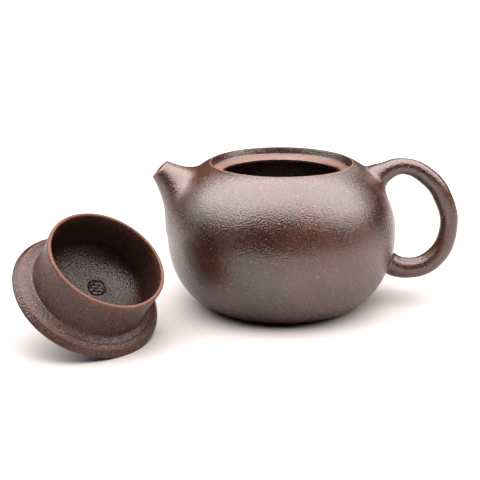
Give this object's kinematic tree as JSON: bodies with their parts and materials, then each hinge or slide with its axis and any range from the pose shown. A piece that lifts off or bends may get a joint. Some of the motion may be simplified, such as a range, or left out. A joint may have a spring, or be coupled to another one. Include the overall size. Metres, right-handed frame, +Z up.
{
  "type": "clay teapot",
  "caption": "Small round unglazed clay teapot with a stub spout and ear handle; its deep-skirted lid lies upside down beside it and lifts straight up.",
  "frame": {"origin": "centre of the pot's flat underside, on the pot's turning axis", "axes": "+X towards the handle, so the spout points to -X; -Y is the side that the lid lies towards; +Z up"},
  "size_m": [0.1625, 0.1126, 0.0566],
  "materials": {
    "belly_clay": "unglazed fired clay, satin from handling, fine orange-peel grain with ochre specks",
    "base_disc_clay": "unglazed fired clay, dry matt",
    "mouth_ring_clay": "unglazed fired clay, seat paler and dry, rim worn pale",
    "spout_clay": "unglazed fired clay, satin, lip worn pale",
    "strainer_clay": "unglazed fired clay, dry and dark",
    "handle_clay": "unglazed fired clay, polished by handling",
    "lid_disc_clay": "unglazed fired clay, dry matt, speckled",
    "lid_skirt_clay": "unglazed fired clay, dry matt, rim worn pale",
    "lid_knob_clay": "unglazed fired clay, satin from handling"
  },
  "bodies": {
    "pot": {"belly": "belly_clay", "base_disc": "base_disc_clay", "mouth_ring": "mouth_ring_clay", "spout": "spout_clay", "strainer": "strainer_clay", "handle": "handle_clay"},
    "lid": {"lid_disc": "lid_disc_clay", "lid_skirt": "lid_skirt_clay", "lid_knob": "lid_knob_clay"}
  },
  "joints": [
    {"name": "lid_lift", "type": "slide", "parent": "pot", "child": "lid", "axis": [0, 0, 1], "range_m": [0, 0.12]}
  ]
}
